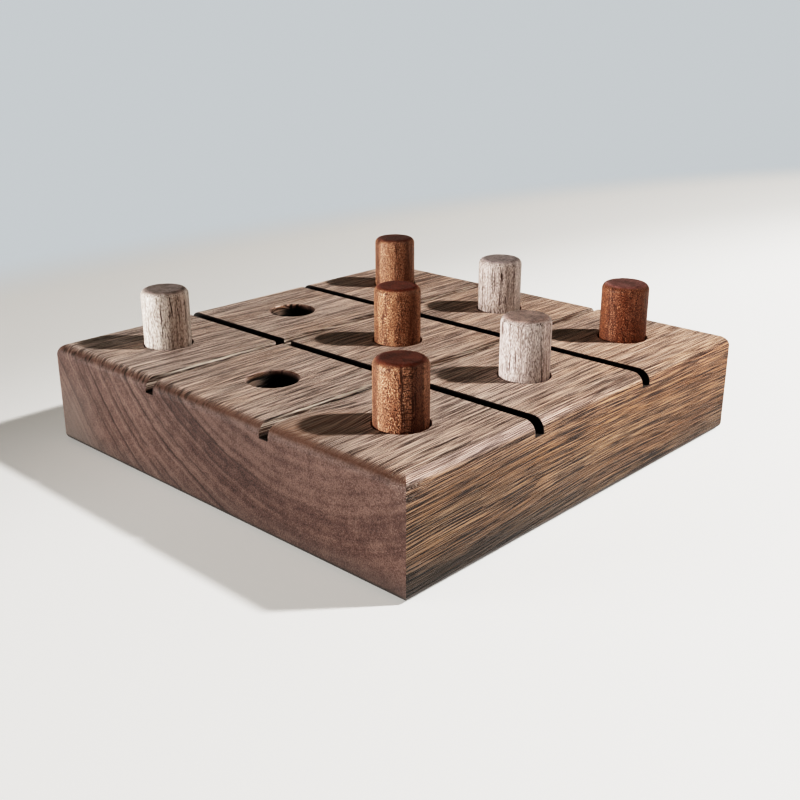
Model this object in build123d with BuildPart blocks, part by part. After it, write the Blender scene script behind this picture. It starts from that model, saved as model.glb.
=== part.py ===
"""A solid wooden tic-tac-toe board with the seven loose pegs of a game in play.

Millimetres. The origin is the centre of the board's underside, +Z is up and the
grain of the board runs along X. Cells are counted from 0, columns along +X and
rows along +Y, so cell (0, 0) is the corner cell nearest -X and -Y.
"""
from build123d import *
import os

# Playing grid, three cells by three
cells_per_side = 3
cell_length = 46.0  # pitch of the cells along the grain
cell_width = 44.5  # pitch of the cells across the grain
edge_margin = 22.0  # from an outer hole's centre to the edge of the board

# Grooves, sawn straight through between the rows and the columns
groove_width = 3.0
groove_depth = 3.8

# Pegs, all alike: lengths of dowel with both ends rounded over
peg_diameter = 13.0
peg_length = 30.0
peg_end_round = 1.8

# Blind flat-bottomed holes, with the small cone that the drill's point leaves
hole_clearance = 0.25  # between a peg and the wall of its hole, all round
hole_depth = 14.3
hole_mouth_ease = 0.3
point_mark_radius = 0.9
point_mark_depth = 0.8

# Plank
floor_thickness = 14.2  # wood left under the holes
top_round = 3.2
bottom_round = 1.8

# The pegs on the board: the dark side holds a diagonal, and two cells are empty
dark_cells = [(0, 0), (1, 1), (2, 2), (2, 0)]
light_cells = [(0, 2), (1, 0), (2, 1)]

# Sizes worked out from the ones above
grid_length = (cells_per_side - 1) * cell_length
grid_width = (cells_per_side - 1) * cell_width
board_length = grid_length + 2 * edge_margin
board_width = grid_width + 2 * edge_margin
board_thickness = floor_thickness + hole_depth
peg_radius = peg_diameter / 2
hole_radius = peg_radius + hole_clearance


def peg_seat(column, row):
    """The plane of a hole's floor, with its origin on the axis of the hole."""
    x = column * cell_length - grid_length / 2
    y = row * cell_width - grid_width / 2
    return Plane((x, y, floor_thickness))


def make_peg(name, column, row):
    """One peg, standing on the floor of the hole in the given cell."""
    with BuildPart() as peg:
        with BuildSketch(peg_seat(column, row)):
            Circle(peg_radius)
        extrude(amount=peg_length)
        fillet(peg.edges().filter_by(GeomType.CIRCLE), peg_end_round)
    peg.part.label = name
    export_step(peg.part, f"parts/{name}.step")


os.makedirs("parts", exist_ok=True)

# Board: one plank, rounded over before the grooves and the holes are cut
with BuildPart() as board:
    with BuildSketch():
        Rectangle(board_length, board_width)
    extrude(amount=board_thickness)
    fillet(board.faces().sort_by(Axis.Z)[-1].edges(), top_round)
    fillet(board.faces().sort_by(Axis.Z)[0].edges(), bottom_round)

    with BuildSketch(Plane.XY.offset(board_thickness)):
        with GridLocations(cell_length, cell_width, cells_per_side - 1, 1):
            Rectangle(groove_width, board_width)
        with GridLocations(cell_length, cell_width, 1, cells_per_side - 1):
            Rectangle(board_length, groove_width)
    extrude(amount=-groove_depth, mode=Mode.SUBTRACT)

    with BuildSketch(Plane.XY.offset(board_thickness)):
        with GridLocations(cell_length, cell_width, cells_per_side, cells_per_side):
            Circle(hole_radius)
    extrude(amount=-hole_depth, mode=Mode.SUBTRACT)
    hole_mouths = board.edges().filter_by(GeomType.CIRCLE).group_by(Axis.Z)[-1]
    chamfer(hole_mouths, hole_mouth_ease)

    with Locations((0, 0, floor_thickness - point_mark_depth)):
        with GridLocations(cell_length, cell_width, cells_per_side, cells_per_side):
            Cone(
                bottom_radius=0,
                top_radius=point_mark_radius,
                height=point_mark_depth,
                align=(Align.CENTER, Align.CENTER, Align.MIN),
                mode=Mode.SUBTRACT,
            )
board.part.label = "board"
export_step(board.part, "parts/board.step")

# Pegs: one node each, numbered in the order of the cells listed above
for number, (column, row) in enumerate(dark_cells, start=1):
    make_peg(f"dark_peg_{number}", column, row)
for number, (column, row) in enumerate(light_cells, start=1):
    make_peg(f"light_peg_{number}", column, row)
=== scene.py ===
"""The looks of a solid wooden tic-tac-toe board and its loose pegs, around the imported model.

Every piece is a CAD node that keeps its shape and gets a solid, procedural wood. The woods are
worked out in millimetres in the row frame, so the figure runs through each piece from face to face.
"""
import math

import bpy
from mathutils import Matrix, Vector


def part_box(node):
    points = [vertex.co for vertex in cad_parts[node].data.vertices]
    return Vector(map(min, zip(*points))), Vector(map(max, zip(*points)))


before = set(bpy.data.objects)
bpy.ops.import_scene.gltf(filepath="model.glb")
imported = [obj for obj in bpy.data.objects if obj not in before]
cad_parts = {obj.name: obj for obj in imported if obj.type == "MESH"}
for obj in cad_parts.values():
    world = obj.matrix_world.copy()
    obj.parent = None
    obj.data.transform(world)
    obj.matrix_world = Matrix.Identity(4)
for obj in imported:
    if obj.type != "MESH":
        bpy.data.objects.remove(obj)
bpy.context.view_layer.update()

MM = 0.001  # metres in a millimetre
METRES_TO_MM = (1000.0, 1000.0, 1000.0)  # for the three coordinates of a point

# Camera, as the photograph was taken: it looks at AIM from an azimuth, an elevation and a distance
AIM = Vector((-35.29, -34.13, 28.5)) * MM
CAMERA_AZIMUTH = math.radians(-46.83)
CAMERA_ELEVATION = math.radians(20.37)
CAMERA_DISTANCE = 258.9 * MM
CAMERA_LENS = 48.68
CAMERA_SENSOR = 36.0
CAMERA_CLIP = (0.01, 20.0)

# Light, in metres and watts: a near lamp to the right of the view, a broad fill low on its left, and
# a soft room all round, whose colour changes with height from 0, which is level, to 1, overhead
KEY_PLACE = Vector((0.414, -0.486, 0.60))
KEY_POWER = 37.0
KEY_RADIUS = 0.03
KEY_COLOUR = (1.0, 0.97, 0.94)
KEY_SHARE_ON_PEGS = 0.30
FILL_TOWARDS = Vector((-0.849, 0.527, 0.12))
FILL_DISTANCE = 0.9
FILL_SIZE = (0.5, 0.22)
FILL_POWER = 15.0
FILL_COLOUR = (1.0, 0.98, 0.96)
FILL_SHARE_OFF_PEGS = 0.33
ROOM_LIGHT = [
    (0.00, (0.42, 0.385, 0.335)),
    (0.25, (0.37, 0.335, 0.285)),
    (0.65, (0.12, 0.105, 0.088)),
    (1.00, (0.09, 0.077, 0.062)),
]

# The film: a curve with a deep toe and a soft shoulder, over scene light up to FILM_WHITE
FILM_CONTRAST = 2.0
FILM_MIDDLE = 0.45
FILM_WHITE = 2.0
FILM_POINTS = (0.01, 0.025, 0.05, 0.08, 0.12, 0.17, 0.24, 0.33, 0.45, 0.6, 0.8)

# Table, in metres: a pale top with a faint glow that dims over TABLE_DIMS, counted from TABLE_CENTRE,
# and that turns into the tone of the far wall over TABLE_EDGE
TABLE_CENTRE = (0.077, -0.763, 0.0)
TABLE_RADIUS = 4.0
TABLE_SIDES = 96
TABLE_COLOUR = (0.65, 0.66, 0.665)
TABLE_ROUGHNESS = 0.7
TABLE_GLOW_COLOUR = (1.0, 0.98, 0.945)
TABLE_GLOW_NEAR, TABLE_GLOW_FAR = 0.325, 0.0325
TABLE_DIMS = (0.78, 0.93)
TABLE_EDGE = (0.98, 1.06)
WALL_COLOUR = (0.52, 0.55, 0.57)

# The board's own sizes, in millimetres, with a hair to spare on its cuts
CELL_LENGTH, CELL_WIDTH = 46.0, 44.5
BOARD_HALF_LENGTH, BOARD_HALF_WIDTH = 68.0, 66.5
BOARD_THICKNESS = 28.5
GROOVE_HALF = 1.55
GROOVE_DEPTH = 3.85
HOLE_RADIUS = 6.8
TOWARDS_KEY = (0.65, -0.76, 0.0)  # from the board to the key, on the level

# The tree that the board came from: its pith runs above the plank and climbs towards +X
PITH_Y, PITH_Z, PITH_CLIMB = -33.0, 88.0, 0.045
RADIUS_LOW, RADIUS_HIGH = 50.0, 130.0
YEARS = [  # how light the wood of the years is, by the radius of their rings in millimetres
    (50.0, 0.62), (60.0, 0.66), (65.0, 0.60), (70.0, 0.55), (76.0, 0.37), (81.0, 0.52),
    (88.0, 0.45), (92.0, 0.50), (99.0, 0.54), (104.0, 0.40), (112.0, 0.52), (126.0, 0.60),
]
PALE_RINGS = (85.8, 89.0, 93.5, 99.0, 105.5, 111.0, 119.5)
DARK_RINGS = (72.5, 75.0, 77.5, 84.0, 87.6, 95.0, 97.6, 103.0, 108.0, 116.0)
RING_LINE = (0.55, 0.10)  # how far from its middle a ring's line starts, and where it is full
SWIRL = (-62.0, -31.5, 28.5)  # a spot on the top where the fibres part and run smooth and brown

# The board's colours, in linear RGB, by tone from dark to light, and its tints
LONG_GRAIN = [
    (0.05, (0.062, 0.034, 0.022)),
    (0.30, (0.166, 0.106, 0.079)),
    (0.50, (0.280, 0.192, 0.154)),
    (0.70, (0.405, 0.296, 0.249)),
    (0.95, (0.635, 0.503, 0.445)),
]
END_GRAIN = [
    (0.10, (0.042, 0.020, 0.016)),
    (0.50, (0.124, 0.070, 0.058)),
    (0.90, (0.250, 0.166, 0.140)),
]
GROOVE_STREAKS = [
    (0.42, (0.020, 0.013, 0.010)),
    (0.48, (0.110, 0.075, 0.060)),
    (0.52, (0.300, 0.225, 0.183)),
    (0.57, (0.800, 0.705, 0.630)),
]
WARMTH = [(0.2, (0.96, 0.96, 0.96)), (0.8, (1.11, 0.99, 0.88))]
SIDE_BANDS = [  # tints on the sides along the grain, from the foot to the top: bands of the wood, with the darker, greyer stops at the foot as painted shade
    (0.00, (0.27, 0.255, 0.230)),
    (0.14, (0.28, 0.260, 0.225)),
    (0.21, (0.36, 0.305, 0.245)),
    (0.29, (0.34, 0.262, 0.190)),
    (0.42, (0.51, 0.422, 0.324)),
    (0.60, (0.52, 0.424, 0.318)),
    (0.72, (0.50, 0.375, 0.260)),
    (0.88, (0.63, 0.505, 0.400)),
]
FRONT_SIDE = [  # tints on the -Y side, from the -X end to the +X end
    (0.00, (0.84, 0.85, 0.85)),
    (0.30, (0.95, 0.93, 0.89)),
    (0.70, (1.16, 1.12, 1.05)),
    (1.00, (1.04, 0.98, 0.92)),
]
BACK_SIDE = (1.35, 1.40, 1.48)  # tint on the whole +Y side: painted light, lifting the side that the key leaves in shade

# Gloss, the same for every wood
WOOD_SPECULAR = 0.38
SHEEN_ROUGHNESS = 0.45

# The two woods of the pegs, with the size of each mark in millimetres, twice across and once along
DARK_LOOK = {
    "stops": [
        (0.12, (0.105, 0.040, 0.022)),
        (0.42, (0.240, 0.118, 0.070)),
        (0.60, (0.330, 0.184, 0.116)),
        (0.88, (0.470, 0.300, 0.205)),
    ],
    "fine_size": (0.24, 0.24, 0.45),
    "fleck": (0.740, 0.520, 0.370), "fleck_size": (0.16, 0.16, 0.36), "fleck_strength": 0.80,
    "dark": (0.045, 0.016, 0.008), "line_size": (0.36, 0.36, 7.0), "line_range": (0.60, 0.67),
    "line_strength": 0.85, "speck_size": (0.17, 0.17, 0.36), "speck_strength": 0.85,
    "shade": (0.36, 0.28, 0.24), "sheen": 0.08,
}
LIGHT_LOOK = {
    "stops": [
        (0.12, (0.310, 0.262, 0.236)),
        (0.42, (0.445, 0.398, 0.366)),
        (0.60, (0.550, 0.505, 0.473)),
        (0.88, (0.710, 0.670, 0.638)),
    ],
    "fine_size": (0.24, 0.24, 0.9),
    "fleck": (0.800, 0.765, 0.735), "fleck_size": (0.26, 0.26, 0.8), "fleck_strength": 0.5,
    "dark": (0.075, 0.046, 0.036), "line_size": (0.26, 0.26, 8.0), "line_range": (0.585, 0.63),
    "line_strength": 1.0, "speck_size": (0.23, 0.23, 0.8), "speck_strength": 0.5,
    "shade": (0.80, 0.66, 0.60), "sheen": 0.15,
}

# How each peg differs from its fellows: the turn of its grain in degrees, a tint over its colours,
# its cut end, and its darker stripes and small checks, each at an angle about Z in degrees, with a
# half width in millimetres and a strength. The stripes at negative angles, on the right of each peg
# as seen, are painted shade; those near 160 degrees are darker wood
DARK_PEGS = [
    {"turn": 20.0, "tint": (1.05, 0.99, 0.98), "end": (0.228, 0.074, 0.046),
     "stripes": [(158.0, 2.2, 0.75), (-101.0, 2.3, 0.85), (-68.0, 2.6, 0.35)],
     "checks": (-125.0, 1.5, 0.85)},
    {"turn": 95.0, "tint": (1.10, 1.05, 1.02), "end": (0.246, 0.066, 0.036),
     "stripes": [(160.0, 1.2, 0.4), (-92.0, 2.6, 0.5)]},
    {"turn": 160.0, "tint": (0.97, 0.93, 0.93), "end": (0.190, 0.072, 0.052),
     "stripes": [(158.0, 2.0, 0.75), (-92.0, 2.4, 0.5)]},
    {"turn": 250.0, "tint": (0.66, 0.50, 0.44), "end": (0.400, 0.200, 0.178), "stripes": []},
]
LIGHT_PEGS = [
    {"turn": 10.0, "tint": (1.05, 1.03, 1.02), "end": (0.330, 0.262, 0.245),
     "stripes": [(-92.0, 4.0, 0.5)]},
    {"turn": 130.0, "tint": (1.06, 1.01, 1.03), "end": (0.540, 0.400, 0.362),
     "stripes": [(-85.0, 3.0, 0.4)]},
    {"turn": 215.0, "tint": (1.06, 1.01, 1.02), "end": (0.470, 0.390, 0.385), "stripes": []},
]
FILL_LIT_FACE = (-1.0, 0.1, 0.0)  # the side of each dowel that the fill lights: the pale flecks of its rays are kept to it, as painted glints
SPOTS = (0.56, 0.64)  # where the noise that makes a peg's flecks and specks turns into spots
END_DEPTH = 0.45  # how dark the pores of a cut end are, as a share of its colour
DOWEL_STEP = 35.0  # how far the grain moves on from one peg to the next, in millimetres along X
DOWEL_WAY = (1.0, 1.7, 2.3)  # and along each axis, as shares of that

# The numbers of a colour Mix node's sockets, which share their names with its other kinds
MIX_FACTOR, MIX_A, MIX_B, MIX_RESULT = 0, 6, 7, 2


def set_ramp(node, stops):
    """Gives a colour ramp node its (place, colour) stops."""
    elements = node.color_ramp.elements
    while len(elements) < len(stops):
        elements.new(0.5)
    for element, (place, colour) in zip(elements, stops):
        element.position = place
        element.color = (*colour, 1.0)


def scaled(colour, by):
    """A plain colour, with each of its channels multiplied."""
    return tuple(channel * scale for channel, scale in zip(colour, by))


class Wood:
    """A material's node tree, with a short call for each kind of node that the woods use."""

    def __init__(self, name):
        self.material = bpy.data.materials.new(name)
        self.material.use_nodes = True
        self.tree = self.material.node_tree
        self.surface = self.tree.nodes["Principled BSDF"]
        coordinates = self.node("TexCoord").outputs
        self.place = coordinates["Object"]
        self.normal = coordinates["Normal"]

    def node(self, kind, inputs=(), **settings):
        """A node with its settings and its inputs, by name or number, as values or sockets."""
        made = self.tree.nodes.new("ShaderNode" + kind)
        for name, value in settings.items():
            setattr(made, name, value)
        for key, value in dict(inputs).items():
            self.join(value, made.inputs[key])
        return made

    def join(self, value, socket):
        """Feeds a socket from another socket, or sets its value."""
        if isinstance(value, bpy.types.NodeSocket):
            self.tree.links.new(value, socket)
        else:
            socket.default_value = value

    def math(self, operation, a, b=0.0, c=0.0):
        return self.node("Math", {0: a, 1: b, 2: c}, operation=operation).outputs[0]

    def times(self, *factors):
        """The product of all the factors."""
        product = factors[0]
        for factor in factors[1:]:
            product = self.math("MULTIPLY", product, factor)
        return product

    def apart(self, a, b):
        """How far apart two numbers are."""
        return self.math("ABSOLUTE", self.math("SUBTRACT", a, b))

    def vector(self, operation, a, b=(0.0, 0.0, 0.0)):
        return self.node("VectorMath", {0: a, 1: b}, operation=operation).outputs[0]

    def measure(self, operation, a, b=(0.0, 0.0, 0.0)):
        """A number taken from vectors: a LENGTH, a DISTANCE or a DOT_PRODUCT."""
        return self.node("VectorMath", {0: a, 1: b}, operation=operation).outputs["Value"]

    def xyz(self, vector):
        return self.node("SeparateXYZ", {0: vector}).outputs[:3]

    def combine(self, x=0.0, y=0.0, z=0.0):
        return self.node("CombineXYZ", {0: x, 1: y, 2: z}).outputs[0]

    def noise(self, point, size, detail=2.0, roughness=0.5):
        """Smooth noise from 0 to 1, with features of about the given size along x, y and z."""
        inputs = {"Vector": self.vector("DIVIDE", point, size), "Scale": 1.0,
                  "Detail": detail, "Roughness": roughness}
        return self.node("TexNoise", inputs).outputs

    def value(self, point, size, detail=2.0, roughness=0.5):
        return self.noise(point, size, detail, roughness)[0]

    def wander(self, point, size, reach):
        """The point, moved by up to about half the reach, smoothly from place to place."""
        centred = self.vector("SUBTRACT", self.noise(point, size)["Color"], (0.5, 0.5, 0.5))
        return self.vector("ADD", point, self.vector("MULTIPLY", centred, reach))

    def between(self, value, low, high, to_low=0.0, to_high=1.0):
        """The value, mapped smoothly from one range to another and held at its ends."""
        inputs = {"Value": value, "From Min": low, "From Max": high,
                  "To Min": to_low, "To Max": to_high}
        return self.node("MapRange", inputs, interpolation_type="SMOOTHSTEP").outputs[0]

    def tone(self, *parts):
        """A tone about 0.5, moved by each part: a value about 0.5, and its weight."""
        total = 0.5
        for value, weight in parts:
            total = self.math("MULTIPLY_ADD", self.math("SUBTRACT", value, 0.5), weight, total)
        return total

    def ramp(self, factor, stops):
        """A colour read off a ramp of (place, colour) stops."""
        made = self.node("ValToRGB", {0: factor})
        set_ramp(made, stops)
        return made.outputs[0]

    def blend(self, factor, a, b, kind="MIX"):
        """Colour a, turned into colour b by the factor."""
        made = self.node("Mix", data_type="RGBA", blend_type=kind)
        for value, socket in ((factor, MIX_FACTOR), (a, MIX_A), (b, MIX_B)):
            if isinstance(value, tuple):
                value = (*value, 1.0)
            self.join(value, made.inputs[socket])
        return made.outputs[MIX_RESULT]

    def tint(self, factor, colour, by):
        """The colour, multiplied by another as far as the factor says."""
        return self.blend(factor, colour, by, "MULTIPLY")

    def finish(self, colour, roughness, height, depth, sheen):
        """Colour, roughness, a bump of the given depth in millimetres, and the sheen of raised fibres."""
        self.join(colour, self.surface.inputs["Base Color"])
        self.join(roughness, self.surface.inputs["Roughness"])
        self.surface.inputs["Specular IOR Level"].default_value = WOOD_SPECULAR
        self.surface.inputs["Sheen Weight"].default_value = sheen
        self.surface.inputs["Sheen Roughness"].default_value = SHEEN_ROUGHNESS
        bump = self.node("Bump", {"Strength": 1.0, "Distance": depth * MM, "Height": height})
        self.join(bump.outputs[0], self.surface.inputs["Normal"])
        return self.material


def board_wood():
    """Flat-sawn dark hardwood with its grain along X."""
    w = Wood("board_wood")
    point = w.vector("MULTIPLY", w.place, METRES_TO_MM)
    facing = w.xyz(w.vector("ABSOLUTE", w.normal))
    grain = w.wander(point, (110.0, 34.0, 34.0), (0.0, 3.5, 3.5))
    radius, years, rings = growth(w, grain)
    fibres, swirl = fibre_run(w, grain)

    end = w.between(facing[0], 0.25, 0.85)
    long_colour, fine, deep = long_grain(w, fibres, years, rings, swirl, facing)
    long_colour = side_tints(w, point, facing, long_colour, deep)
    end_colour, grit = end_grain(w, point, radius, years, rings)
    colour = w.blend(end, long_colour, end_colour)
    colour = worn_edges(w, point, facing, colour)
    colour = grooves_across(w, point, colour)
    colour = grooves_along(w, point, facing, colour)
    colour = holes(w, point, colour)

    dry = w.between(w.xyz(point)[0], -20.0, 50.0, 0.32, 0.52)
    relief = w.node("Mix", {"Factor": end, "A": fine, "B": grit}).outputs[0]
    roughness = w.math("MULTIPLY_ADD", relief, 0.30, dry)
    height = w.math("MULTIPLY_ADD", w.times(deep, w.math("SUBTRACT", 1.0, end)), -0.8, relief)
    return w.finish(colour, roughness, height, depth=0.12, sheen=0.22)


def growth(w, grain):
    """The distance from the pith, the broad tone of the years and the finer tone of single rings."""
    x, y, z = w.xyz(grain)
    up = w.math("SUBTRACT", z, w.math("MULTIPLY_ADD", x, PITH_CLIMB, PITH_Z))
    radius = w.measure("LENGTH", w.combine(0.0, w.math("SUBTRACT", y, PITH_Y), up))
    spread = RADIUS_HIGH - RADIUS_LOW
    share = w.math("DIVIDE", w.math("SUBTRACT", radius, RADIUS_LOW), spread)
    years = w.ramp(share, [((r - RADIUS_LOW) / spread, (tone,) * 3) for r, tone in YEARS])
    rings = w.value(w.combine(radius, 7.0, x), (1.5, 1.0, 250.0), detail=3.0, roughness=0.6)
    return radius, years, rings


def fibre_run(w, grain):
    """The point, carried along the fibres, which climb from the -X end and part round the swirl."""
    x, y, _ = w.xyz(grain)
    away = w.vector("MULTIPLY", w.vector("SUBTRACT", grain, SWIRL), (0.55, 1.0, 1.0))
    swirl = w.between(w.measure("LENGTH", away), 12.0, 3.0)
    parted = w.times(w.math("SUBTRACT", y, SWIRL[1]), swirl, -0.65)
    climb = w.between(x, -90.0, 10.0, 2.5, 0.0)
    return w.vector("ADD", grain, w.combine(0.0, parted, climb)), swirl


def long_grain(w, fibres, years, rings, swirl, facing):
    """Colour along the fibres: fine streaks over broad bands, with dark pores and pale ridges.

    The fine streaks run on one coordinate across the grain, over the top and down both sides, so
    they stay unbroken; it folds back inside a groove.
    """
    x, y, z = w.xyz(fibres)
    strands = w.combine(x, w.math("SUBTRACT", z, w.apart(y, CELL_WIDTH / 2)))
    side = w.between(facing[1], 0.72, 0.97)
    raised = w.times(w.between(x, -60.0, 70.0, 1.35, 0.70), w.between(swirl, 0.1, 0.8, 1.0, 0.35))
    strength = w.times(raised, w.between(side, 0.0, 1.0, 1.0, 2.1))

    broad = w.value(fibres, (80.0, 6.0, 6.0))
    medium = w.value(fibres, (45.0, 1.3, 1.3))
    narrow = w.value(strands, (48.0, 0.24, 1.0), detail=1.0)
    fine = w.value(strands, (12.0, 0.15, 1.0), detail=1.0, roughness=0.6)
    coarse = w.value(strands, (40.0, 0.7, 1.0), detail=1.0)
    front = w.between(y, -24.0, -56.0, 0.5, w.between(x, 10.0, 60.0, 0.67, 0.64))
    tone = w.tone((fine, w.times(strength, 6.5)), (narrow, w.times(strength, 4.9)),
                  (coarse, w.between(y, -20.0, 45.0, 0.0, 5.0)), (medium, 0.8),
                  (broad, 0.5), (years, 0.6), (rings, -0.5), (front, 1.0))
    warm = w.tone((w.value(fibres, (70.0, 16.0, 9.0)), 1.6), (w.between(x, -60.0, 70.0), 0.45))
    colour = w.tint(1.0, w.ramp(tone, LONG_GRAIN), w.ramp(warm, WARMTH))
    colour = w.blend(w.times(swirl, 0.55), colour, (0.250, 0.140, 0.086))

    beside = w.vector("ADD", strands, (40.0, 9.0, 0.0))
    ridges = w.between(w.value(beside, (30.0, 0.19, 1.0), detail=0.0), 0.58, 0.64)
    colour = w.blend(w.times(ridges, raised, 0.80), colour, (0.700, 0.574, 0.505))
    pores = w.between(w.value(strands, (20.0, 0.19, 1.0), detail=0.0), 0.57, 0.63)
    pores = w.times(pores, raised, w.between(side, 0.0, 1.0, 0.85, 1.1))
    colour = w.blend(pores, colour, (0.050, 0.026, 0.017))
    deep = w.math("MAXIMUM", pores, w.between(tone, 0.45, 0.12))
    return colour, fine, deep


def side_tints(w, point, facing, colour, deep):
    """The sides along the grain: duller, in level bands, rusty in the pores, and with painted shade low
    down towards -X.
    """
    x, y, z = w.xyz(point)
    level = w.math("MULTIPLY_ADD", w.value(point, (45.0, 20.0, 6.0)), 6.0, w.math("SUBTRACT", z, 3.0))
    bands = w.ramp(w.math("DIVIDE", level, BOARD_THICKNESS), SIDE_BANDS)
    run = w.ramp(w.between(x, -66.0, 60.0), FRONT_SIDE)
    # painted light: the +Y side, in shade from the key, is lifted by BACK_SIDE
    run = w.blend(w.math("LESS_THAN", y, 0.0), BACK_SIDE, run)
    side = w.between(facing[1], 0.80, 0.99)
    colour = w.tint(side, colour, w.tint(1.0, bands, run))
    colour = w.tint(w.times(side, deep), colour, (0.90, 0.78, 0.62))
    # painted shade: the sides darken low down, most towards -X
    low_shade = w.times(side, w.between(level, 7.5, 3.5), w.between(x, 30.0, -50.0))
    return w.tint(low_shade, colour, (0.50, 0.48, 0.48))


def end_grain(w, point, radius, years, rings):
    """Colour and grit across the fibres: rings as broken dark and pale lines, and fine pores."""
    _, y, z = w.xyz(point)
    grit = w.value(point, (9.0, 0.30, 0.30), roughness=0.7)
    mottle = w.value(point, (20.0, 3.5, 3.5))
    lit = w.between(y, 15.0, -42.0, 0.62, 0.60)
    calm = w.between(y, 0.0, -40.0, 1.0, 0.5)
    tone = w.tone((years, calm), (rings, w.times(calm, -1.2)), (grit, 1.7), (mottle, 0.6), (lit, 1.0))
    colour = w.ramp(tone, END_GRAIN)

    broken = w.value(point, (20.0, 9.0, 9.0))
    clear = w.times(w.between(broken, 0.30, 0.48), w.between(y, -35.0, 5.0, 0.20, 1.0))
    ragged = w.value(point, (20.0, 3.0, 3.0))
    uneven = w.math("MULTIPLY_ADD", ragged, 1.4, w.math("SUBTRACT", radius, 0.7))
    colour = w.blend(w.times(ring_lines(w, uneven, DARK_RINGS), clear, 0.62), colour, (0.040, 0.020, 0.017))
    colour = w.blend(w.times(ring_lines(w, uneven, PALE_RINGS), clear, 0.45), colour, (0.310, 0.222, 0.188))

    aside = w.between(w.math("ABSOLUTE", y), 20.0, 66.0, 0.5, 1.0)
    low = w.times(w.between(z, 8.0, 0.0), aside)
    colour = w.blend(w.times(low, 0.60), colour, (0.112, 0.095, 0.089))
    heart = w.between(w.apart(y, -6.0), 38.0, 8.0)
    colour = w.tint(heart, colour, (0.84, 0.83, 0.83))
    corner = w.times(w.between(y, 42.0, 64.0), w.between(z, 26.0, 6.0))
    return w.blend(w.times(corner, 0.6), colour, (0.215, 0.184, 0.168)), grit


def ring_lines(w, radius, lines):
    """Thin soft lines at each of the given radii."""
    found = 0.0
    for line in lines:
        found = w.math("MAXIMUM", found, w.between(w.apart(radius, line), *RING_LINE))
    return found


def worn_edges(w, point, facing, colour):
    """The rounded edges: darker across the fibres, with a painted highlight along them, torn at the rim,
    scuffed and partly painted highlight at the front corner, and painted shade below.
    """
    x, y, z = w.xyz(point)
    slant = w.times(w.between(facing[0], 0.30, 0.60), w.between(facing[0], 0.97, 0.75))
    slant = w.times(slant, w.between(y, -10.0, 40.0, 0.55, 0.25))
    colour = w.blend(slant, colour, (0.222, 0.128, 0.090))
    # painted highlight on the round along the -Y side: pale and pinkish towards -X, duller towards +X
    along = w.times(w.between(facing[1], 0.15, 0.40), w.between(facing[1], 0.99, 0.85))
    highlight_tint = w.blend(w.between(x, -45.0, 45.0), (0.95, 0.92, 0.96), (0.88, 0.84, 0.79))
    colour = w.tint(along, colour, highlight_tint)
    painted_highlight = w.times(along, w.between(x, 0.0, -45.0), 0.20)
    colour = w.blend(painted_highlight, colour, (0.560, 0.465, 0.425))

    torn = w.between(w.value(point, (4.0, 0.9, 4.0)), 0.53, 0.62)
    torn = w.times(torn, w.between(facing[0], 0.20, 0.45), w.between(facing[0], 0.97, 0.85),
                   w.between(z, 24.5, 26.5), w.between(y, -25.0, 25.0, 0.15, 1.0))
    colour = w.blend(w.times(torn, 0.85), colour, (0.034, 0.018, 0.012))
    # pale spots near the front top corner: scuffs, and partly a painted highlight
    corner = w.vector("SUBTRACT", point, (-BOARD_HALF_LENGTH, -BOARD_HALF_WIDTH, BOARD_THICKNESS))
    near = w.between(w.measure("LENGTH", corner), 8.0, 3.0)
    scuffs_and_highlight = w.times(near, w.between(w.value(point, (0.7, 0.4, 0.4)), 0.55, 0.65), 0.35)
    colour = w.blend(scuffs_and_highlight, colour, (0.620, 0.520, 0.460))
    # painted shade: the bottom round goes near black, a contact shadow on the table
    foot = w.between(z, 1.8, 0.8)
    return w.blend(w.times(foot, 0.95), colour, (0.014, 0.011, 0.009))


def below_top(w, point):
    """How far the point lies under the top of the board."""
    return w.math("SUBTRACT", BOARD_THICKNESS, w.xyz(point)[2])


def from_grooves(w, across, pitch):
    """How far a coordinate is from the middle of the nearer groove of a pair, a pitch apart."""
    return w.apart(w.math("ABSOLUTE", across), pitch / 2)


def grooves_across(w, point, colour):
    """The grooves across the grain: painted shade, near black on their walls and in a ragged band along
    their edges where the saw tore the fibres.
    """
    down = below_top(w, point)
    above_floor = w.math("LESS_THAN", down, GROOVE_DEPTH)
    off = from_grooves(w, w.xyz(point)[0], CELL_LENGTH)
    # painted shade: the walls of the groove, and a ragged band along its edges, go near black
    walls = w.times(w.math("LESS_THAN", off, GROOVE_HALF), above_floor, w.between(down, 0.0, 0.25))
    ragged_shade = w.math("MULTIPLY_ADD", w.value(point, (0.9, 0.35, 0.5)), 1.6, GROOVE_HALF - 0.65)
    ragged_shade = w.times(w.math("LESS_THAN", off, ragged_shade), above_floor, 0.8)
    return w.blend(w.math("MAXIMUM", w.times(walls, 0.92), ragged_shade), colour, (0.010, 0.007, 0.005))


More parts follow.
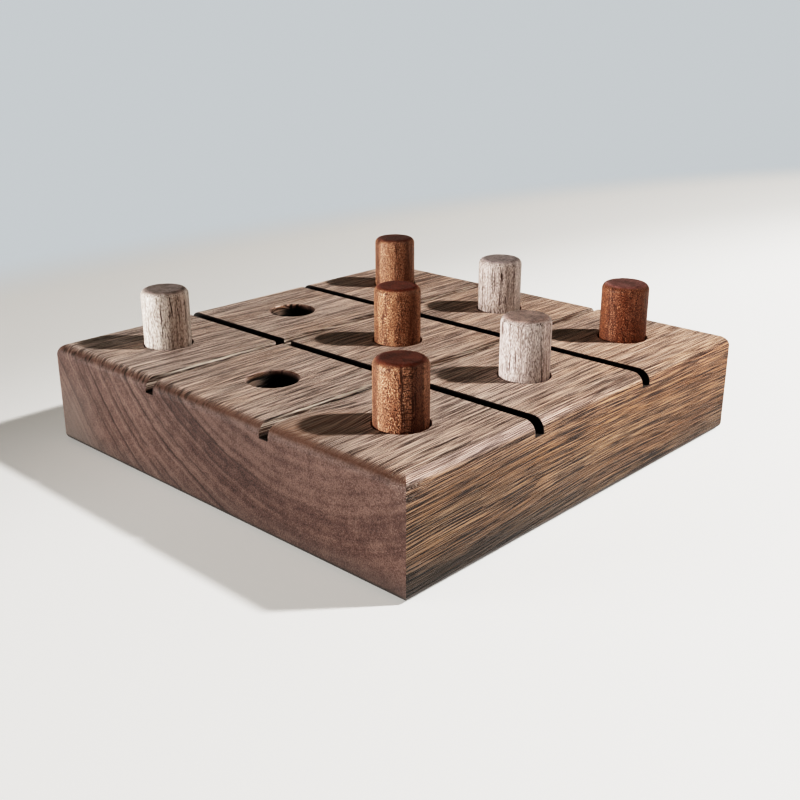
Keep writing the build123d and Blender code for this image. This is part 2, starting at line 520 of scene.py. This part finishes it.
def grooves_along(w, point, facing, colour):
    """The grooves along the grain: bare streaked walls, a pale line high on the walls near the -X end, and
    painted shade deeper down at that end and at the bottom.
    """
    x, y, _ = w.xyz(point)
    down = below_top(w, point)
    in_groove = w.times(w.math("LESS_THAN", from_grooves(w, y, CELL_WIDTH), GROOVE_HALF),
                        w.math("LESS_THAN", down, GROOVE_DEPTH))
    walls = w.times(in_groove, w.math("GREATER_THAN", facing[1], 0.5))
    sloping = w.vector("ADD", point, w.combine(z=w.times(x, 0.035)))
    streaks = w.ramp(w.value(sloping, (12.0, 1.0, 0.20), roughness=0.7), GROOVE_STREAKS)
    colour = w.blend(w.times(walls, w.between(x, 10.0, -40.0, 0.70, 1.0)), colour, streaks)

    # painted shade: the walls darken deeper down at the open -X end of the groove
    mouth_shade = w.times(in_groove, w.between(x, -62.0, -66.0), w.between(down, 1.0, 3.0, 0.4, 1.0))
    colour = w.blend(w.times(mouth_shade, 0.75), colour, (0.085, 0.046, 0.032))
    # painted shade: the bottom of the groove goes near black
    floor_shade = w.times(in_groove, w.between(down, 2.7, 3.6), 0.6)
    colour = w.blend(floor_shade, colour, (0.020, 0.013, 0.010))
    # a pale line high on the walls near the -X end
    pale_line = w.times(walls, w.between(w.apart(down, 0.5), 0.35, 0.12), w.between(x, -28.0, -42.0),
                     w.between(x, -66.0, -56.0), w.between(y, -20.0, 20.0, 0.85, 1.0))
    return w.blend(pale_line, colour, (0.860, 0.780, 0.700))


def holes(w, point, colour):
    """The holes: painted shade, near black within, with drill marks painted pale as light from the key,
    high on the walls that face it.
    """
    x, y, _ = w.xyz(point)
    down = below_top(w, point)
    in_cell = w.combine(w.math("WRAP", x, -CELL_LENGTH / 2, CELL_LENGTH / 2),
                        w.math("WRAP", y, -CELL_WIDTH / 2, CELL_WIDTH / 2))
    inside = w.times(w.math("LESS_THAN", w.measure("LENGTH", in_cell), HOLE_RADIUS),
                     w.math("GREATER_THAN", down, 0.2))
    # painted shade: the walls of the holes go near black a little below the top
    colour = w.blend(w.times(inside, w.between(down, 0.4, 1.8), 0.96), colour, (0.005, 0.004, 0.003))
    # painted light: pale drill marks only on the walls that face the key
    faces_key = w.measure("DOT_PRODUCT", w.normal, TOWARDS_KEY)
    marks = w.between(w.value(point, (8.0, 8.0, 0.5)), 0.46, 0.54)
    marks = w.times(marks, w.between(faces_key, 0.35, 0.8),
                    w.between(down, 0.3, 0.9), w.between(down, 6.0, 2.5))
    return w.blend(w.times(inside, marks, 0.8), colour, (0.400, 0.310, 0.255))


def peg_wood(node, look, peg, shift):
    """Straight-grained dowel with its grain along Z, and a cut end of its own colour."""
    w = Wood(node + "_wood")
    low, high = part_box(node)
    centre = tuple((low + high) / 2 / MM)
    local = w.vector("SUBTRACT", w.vector("MULTIPLY", w.place, METRES_TO_MM), centre)
    turn = math.radians(peg["turn"])
    spun = w.node("VectorRotate", {"Vector": local, "Axis": (0.0, 0.0, 1.0), "Angle": turn})
    point = w.vector("ADD", spun.outputs[0], tuple(shift * way for way in DOWEL_WAY))
    grain = w.wander(point, (9.0, 9.0, 16.0), (1.6, 1.6, 0.0))

    layers = w.value(w.combine(w.xyz(grain)[0], 3.3), (1.5, 1.0, 1.0), detail=3.0)
    medium = w.value(grain, (0.8, 0.8, 9.0))
    fine = w.value(grain, look["fine_size"], roughness=0.7)
    stops = [(at, scaled(colour, peg["tint"])) for at, colour in look["stops"]]
    colour = w.ramp(w.tone((fine, 1.3), (medium, 0.6), (layers, 0.7)), stops)
    colour = w.blend(ray_flecks(w, local, grain, look), colour, scaled(look["fleck"], peg["tint"]))
    for stripe in peg["stripes"]:
        colour = w.tint(shaded_stripe(w, local, *stripe), colour, look["shade"])
    marks = peg_pores(w, grain, layers, look)
    if "checks" in peg:
        marks = w.math("MAXIMUM", marks, checked_band(w, local, *peg["checks"]))
    colour = w.blend(marks, colour, look["dark"])
    upright = w.between(w.math("ABSOLUTE", w.xyz(w.normal)[2]), 0.62, 0.97)
    colour = w.blend(upright, colour, cut_end(w, point, peg["end"]))

    roughness = w.math("MULTIPLY_ADD", medium, 0.25, 0.42)
    height = w.math("MULTIPLY_ADD", marks, -1.0, w.math("MULTIPLY", fine, 0.7))
    return w.finish(colour, roughness, height, depth=0.10, sheen=look["sheen"])


def ray_flecks(w, local, grain, look):
    """Where the rays show as pale flecks: in patches, and mostly on the face that the fill lights, partly
    the rays' own colour and partly painted glint.
    """
    elsewhere = w.vector("ADD", grain, (7.0, 5.0, 3.0))
    flecks = w.between(w.value(elsewhere, look["fleck_size"], detail=0.0), *SPOTS)
    patches = w.between(w.value(grain, (1.6, 1.6, 5.0)), 0.38, 0.55, 0.25, 1.0)
    # painted light: the flecks fade on the side away from the fill
    face = w.between(w.measure("DOT_PRODUCT", local, FILL_LIT_FACE), 0.0, 4.5, 0.25, 1.0)
    return w.times(flecks, patches, face, look["fleck_strength"])


def peg_pores(w, grain, layers, look):
    """Where the pores are: in long lines through the denser layers, and as short specks all over."""
    lines = w.between(w.value(grain, look["line_size"], detail=1.0), *look["line_range"])
    lines = w.times(lines, w.between(layers, 0.62, 0.45), look["line_strength"])
    specks = w.between(w.value(grain, look["speck_size"], detail=0.0), *SPOTS)
    return w.math("MAXIMUM", lines, w.times(specks, look["speck_strength"]))


def cut_end(w, point, colour):
    """The colour of a cut end: fine pores and soft blotches."""
    tone = w.tone((w.value(point, (0.35, 0.35, 4.0)), 1.4), (w.value(point, (3.0, 3.0, 9.0)), 1.2))
    return w.ramp(tone, [(0.2, scaled(colour, (END_DEPTH,) * 3)), (0.75, colour)])


def beside_line(w, local, angle):
    """How far the point lies to either side of a line up the peg, and whether it is on that face."""
    turn = math.radians(angle)
    out = (math.cos(turn), math.sin(turn), 0.0)
    aside = (-math.sin(turn), math.cos(turn), 0.0)
    off = w.math("ABSOLUTE", w.measure("DOT_PRODUCT", local, aside))
    return off, w.math("GREATER_THAN", w.measure("DOT_PRODUCT", local, out), 0.0)


def shaded_stripe(w, local, angle, half_width, strength):
    """A darker stripe up one side of a peg, full near its middle and fading to its edges; the stripes on
    the pegs' right faces are painted shade.
    """
    off, front = beside_line(w, local, angle)
    return w.times(front, w.between(off, half_width, half_width * 0.3), strength)


def checked_band(w, local, angle, half_width, strength):
    """Small drying checks across one side of a peg, between two broken lines."""
    swayed = w.wander(local, (2.0, 2.0, 4.0), (1.3, 1.3, 0.0))
    off, front = beside_line(w, swayed, angle)
    rails = w.between(w.apart(off, half_width * 0.8), 0.28, 0.08)
    rails = w.times(rails, w.between(w.value(local, (1.0, 1.0, 2.2), detail=1.0), 0.40, 0.55))
    level = w.math("MULTIPLY_ADD", off, 0.25, w.xyz(local)[2])
    steps = w.value(w.combine(0.0, off, level), (1.0, 2.4, 0.30), detail=0.0)
    steps = w.times(w.between(steps, 0.54, 0.61), w.between(off, half_width, half_width * 0.85))
    return w.times(w.math("MAXIMUM", rails, steps), front, strength)


def dress(node, material):
    """Gives a CAD node its material."""
    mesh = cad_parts[node].data
    mesh.materials.clear()
    mesh.materials.append(material)


def dress_pieces():
    """Each peg is cut from its own stretch of dowel, so each has its own turn and shift of the grain."""
    dress("board", board_wood())
    for side, look, pegs in (("dark", DARK_LOOK, DARK_PEGS), ("light", LIGHT_LOOK, LIGHT_PEGS)):
        for number, peg in enumerate(pegs, start=1):
            node = f"{side}_peg_{number}"
            shift = DOWEL_STEP * number + peg["turn"] / 10
            dress(node, peg_wood(node, look, peg, shift))


def add_table():
    """A plain pale table top, seen as lighter than the light that falls on it."""
    bpy.ops.mesh.primitive_circle_add(vertices=TABLE_SIDES, radius=TABLE_RADIUS, fill_type="NGON")
    table = bpy.context.object
    table.name = "table_top"
    w = Wood("table_paint")
    away = w.measure("DISTANCE", w.place, TABLE_CENTRE)
    w.surface.inputs["Base Color"].default_value = (*TABLE_COLOUR, 1.0)
    w.surface.inputs["Roughness"].default_value = TABLE_ROUGHNESS
    w.surface.inputs["Emission Color"].default_value = (*TABLE_GLOW_COLOUR, 1.0)
    glow = w.between(away, *TABLE_DIMS, TABLE_GLOW_NEAR, TABLE_GLOW_FAR)
    w.join(glow, w.surface.inputs["Emission Strength"])
    far = w.node("Emission", {"Color": (*WALL_COLOUR, 1.0), "Strength": 1.0})
    edge = w.between(away, *TABLE_EDGE)
    fade = w.node("MixShader", {0: edge, 1: w.surface.outputs[0], 2: far.outputs[0]})
    w.join(fade.outputs[0], w.tree.nodes["Material Output"].inputs["Surface"])
    table.data.materials.append(w.material)
    return table


def add_lamp(name, kind, power, colour, place, **settings):
    """A lamp that the camera doesn't see, aimed at the middle of the board."""
    data = bpy.data.lights.new(name, kind)
    data.energy = power
    data.color = colour
    for setting, value in settings.items():
        setattr(data, setting, value)
    lamp = bpy.data.objects.new(name, data)
    lamp.location = place
    lamp.rotation_euler = place.to_track_quat("Z", "Y").to_euler()
    lamp.visible_camera = False
    bpy.context.scene.collection.objects.link(lamp)
    return lamp


def light_only(lamp, things):
    """The lamp's light falls on these objects alone, and every object shades it."""
    group = bpy.data.collections.new(lamp.name + "_receivers")
    for thing in things:
        group.objects.link(thing)
    lamp.light_linking.receiver_collection = group


def add_lights(table):
    """The key is flagged down on the pegs, and the fill on the board and the table."""
    pegs = [thing for name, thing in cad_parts.items() if name != "board"]
    ground = [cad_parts["board"], table]
    key = dict(kind="POINT", colour=KEY_COLOUR, place=KEY_PLACE, shadow_soft_size=KEY_RADIUS)
    light_only(add_lamp("key", power=KEY_POWER, **key), ground)
    light_only(add_lamp("key_on_pegs", power=KEY_POWER * KEY_SHARE_ON_PEGS, **key), pegs)
    fill = dict(kind="AREA", colour=FILL_COLOUR, place=FILL_TOWARDS.normalized() * FILL_DISTANCE,
                shape="RECTANGLE", size=FILL_SIZE[0], size_y=FILL_SIZE[1])
    light_only(add_lamp("fill", power=FILL_POWER * FILL_SHARE_OFF_PEGS, **fill), ground)
    light_only(add_lamp("fill_on_pegs", power=FILL_POWER, **fill), pegs)


def add_world():
    """The light of the room, pale low down and dim overhead, with a plain wall for the camera."""
    world = bpy.data.worlds.new("room")
    bpy.context.scene.world = world
    world.use_nodes = True
    tree = world.node_tree
    height = tree.nodes.new("ShaderNodeSeparateXYZ")
    tree.links.new(tree.nodes.new("ShaderNodeTexCoord").outputs["Generated"], height.inputs[0])
    ramp = tree.nodes.new("ShaderNodeValToRGB")
    tree.links.new(height.outputs["Z"], ramp.inputs[0])
    set_ramp(ramp, ROOM_LIGHT)
    seen = tree.nodes.new("ShaderNodeMixRGB")
    tree.links.new(tree.nodes.new("ShaderNodeLightPath").outputs["Is Camera Ray"], seen.inputs[0])
    tree.links.new(ramp.outputs[0], seen.inputs[1])
    seen.inputs[2].default_value = (*WALL_COLOUR, 1.0)
    tree.links.new(seen.outputs[0], tree.nodes["Background"].inputs["Color"])


def add_camera():
    """The camera, at the angle and the distance of the photograph."""
    data = bpy.data.cameras.new("camera")
    data.lens = CAMERA_LENS
    data.sensor_width = CAMERA_SENSOR
    data.clip_start, data.clip_end = CAMERA_CLIP
    camera = bpy.data.objects.new("camera", data)
    level = math.cos(CAMERA_ELEVATION)
    back = Vector((math.sin(CAMERA_AZIMUTH) * level, -math.cos(CAMERA_AZIMUTH) * level,
                   math.sin(CAMERA_ELEVATION)))
    camera.location = AIM + back * CAMERA_DISTANCE
    camera.rotation_euler = (-back).to_track_quat("-Z", "Y").to_euler()
    bpy.context.scene.collection.objects.link(camera)
    bpy.context.scene.camera = camera


def film_tone(light):
    """How light the film turns out where this much light falls on it, from 0 to 1."""
    exposed = light ** FILM_CONTRAST
    return exposed / (exposed + FILM_MIDDLE ** FILM_CONTRAST)


def set_film():
    """The photograph's contrast: dark tones fall away fast, and light ones are held."""
    view = bpy.context.scene.view_settings
    view.view_transform = "Standard"
    view.look = "None"
    view.use_curve_mapping = True
    mapping = view.curve_mapping
    mapping.white_level = (FILM_WHITE,) * 3
    curve = mapping.curves[3]
    for place in FILM_POINTS:
        curve.points.new(place, film_tone(place * FILM_WHITE))
    curve.points[-1].location = (1.0, film_tone(FILM_WHITE))
    mapping.update()


add_camera()
dress_pieces()
add_lights(add_table())
add_world()
set_film()
